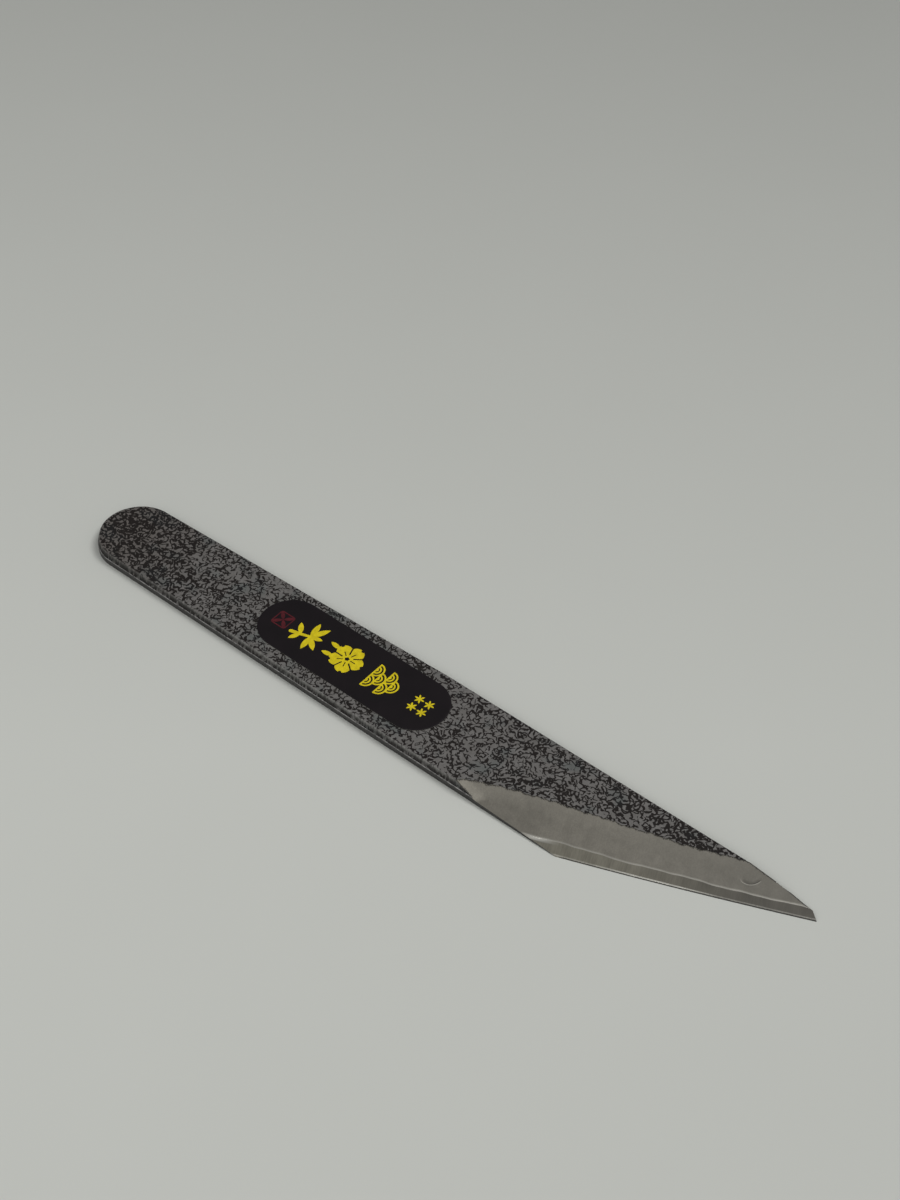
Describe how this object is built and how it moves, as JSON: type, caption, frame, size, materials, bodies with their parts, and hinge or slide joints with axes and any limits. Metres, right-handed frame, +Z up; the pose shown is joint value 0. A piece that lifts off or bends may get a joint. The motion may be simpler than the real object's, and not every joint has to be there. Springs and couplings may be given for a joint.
{
  "type": "single-bevel carving knife",
  "caption": "Flat one-piece hand knife with a round butt, an oblique single-bevel edge, a mottled coat and an oval label with plain motifs.",
  "frame": {"origin": "middle of the overall box at the flat back, on the surface the knife lies on", "axes": "+X from the round butt to the point, +Y towards the spine, +Z up out of the labelled front"},
  "size_m": [0.18, 0.021, 0.0032],
  "materials": {
    "iron": "soft iron ground across to a fine satin on the bevel, left dull grey on the sides",
    "hard_steel": "hard steel honed to a fine satin strip along the edge, dull grey on the sides",
    "front_coat": "mottled black and grey coat with a fine broken texture",
    "back_coat": "plain dark forge scale",
    "glue": "clear pressure-sensitive glue",
    "film": "black printed film, satin",
    "yellow_ink": "yellow ink",
    "red_ink": "dark red ink"
  },
  "bodies": {
    "root": {"iron_body": "iron", "hard_steel_layer": "hard_steel", "front_coat": "front_coat", "back_coat": "back_coat", "label_glue": "glue", "label_film": "film", "label_bamboo": "yellow_ink", "label_blossom": "yellow_ink", "label_waves": "yellow_ink", "label_stars": "yellow_ink", "label_seal": "red_ink"}
  },
  "joints": []
}
